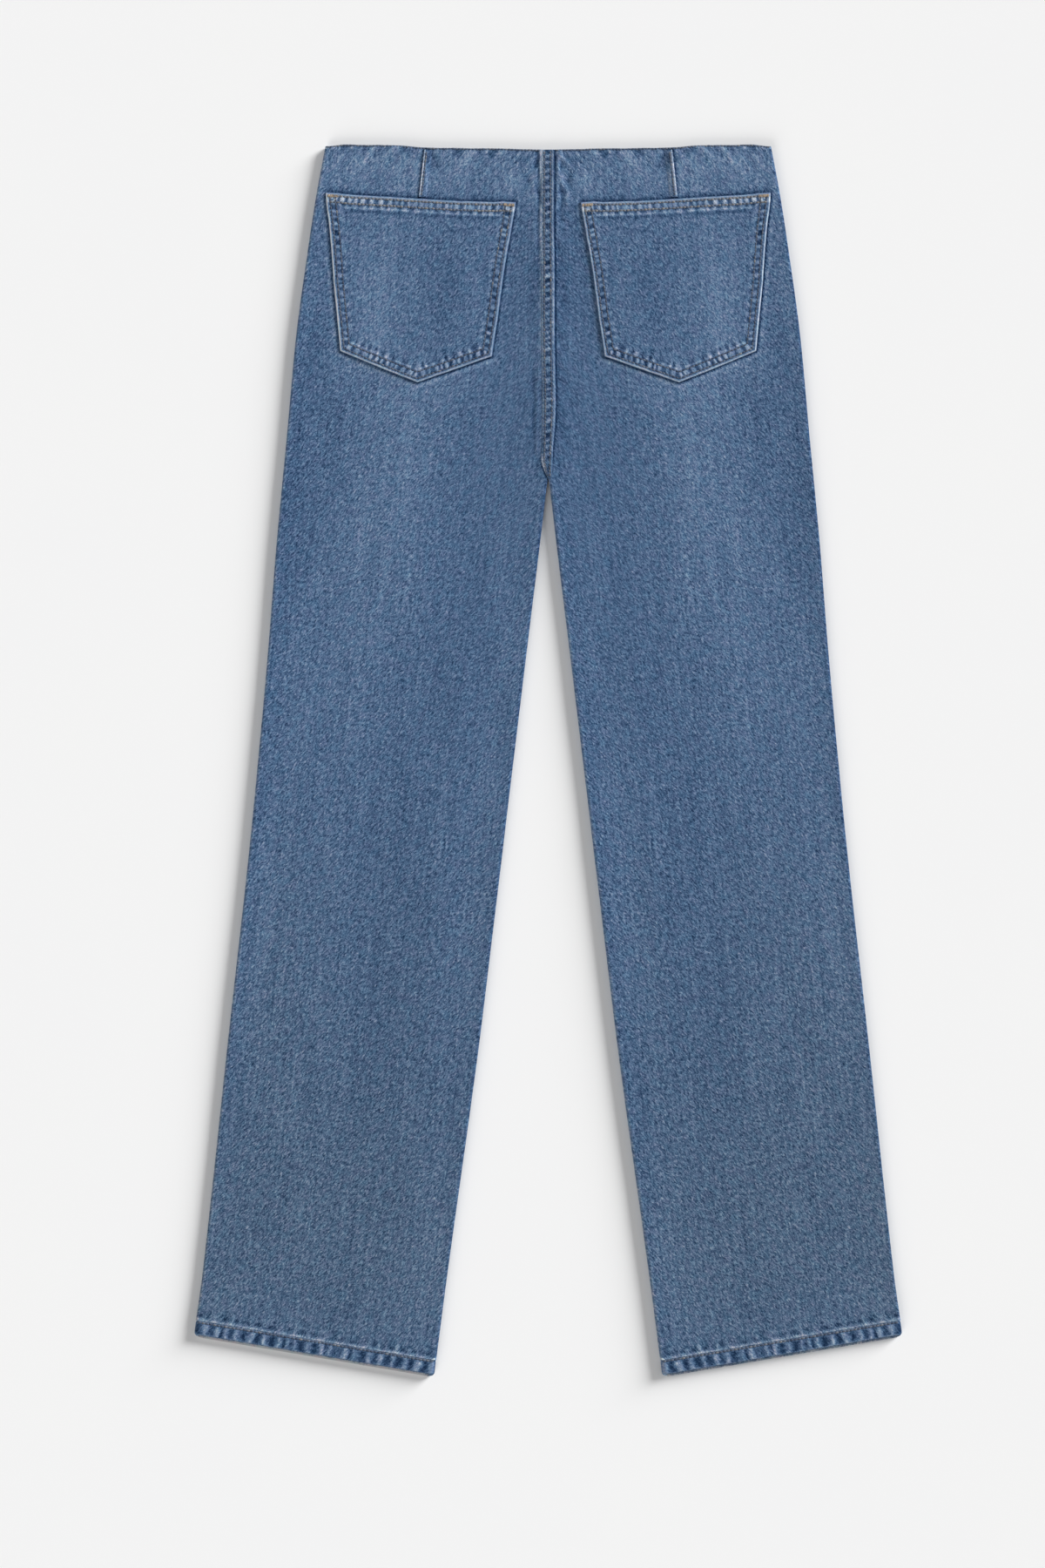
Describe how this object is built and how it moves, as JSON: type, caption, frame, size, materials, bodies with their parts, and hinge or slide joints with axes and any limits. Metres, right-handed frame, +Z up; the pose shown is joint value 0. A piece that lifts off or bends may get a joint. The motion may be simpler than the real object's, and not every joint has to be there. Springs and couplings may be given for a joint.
{
  "type": "straight leg jeans",
  "caption": "Straight leg denim jeans laid flat with the back side up, with patch pockets, centre back seam, darts and stitched hems.",
  "frame": {"origin": "centre of the garment's outline on the surface that it lies on", "axes": "+Y from the hems to the waist, +Z up from the surface towards the garment's back side, +X towards the wearer's right leg"},
  "size_m": [0.5996, 1.04, 0.0078],
  "materials": {
    "denim": "mid blue washed denim, right hand twill, matt with a faint sheen",
    "pocket_denim": "the same denim, a little paler from wear, with pale rubbed edges",
    "seam_denim": "the same denim, puckered, with pale rubbed ridges and darker hollows",
    "button_metal": "dull nickel",
    "topstitch": "brown spun sewing thread with tan flecks",
    "bartack": "orange spun sewing thread"
  },
  "bodies": {
    "root": {"back_left": "denim", "back_right": "denim", "front_left": "denim", "front_right": "denim", "pocket_left": "pocket_denim", "pocket_right": "pocket_denim", "seat_seam": "seam_denim", "dart_left": "seam_denim", "dart_right": "seam_denim", "hem_left": "seam_denim", "hem_right": "seam_denim", "fly_button": "button_metal"}
  },
  "joints": []
}
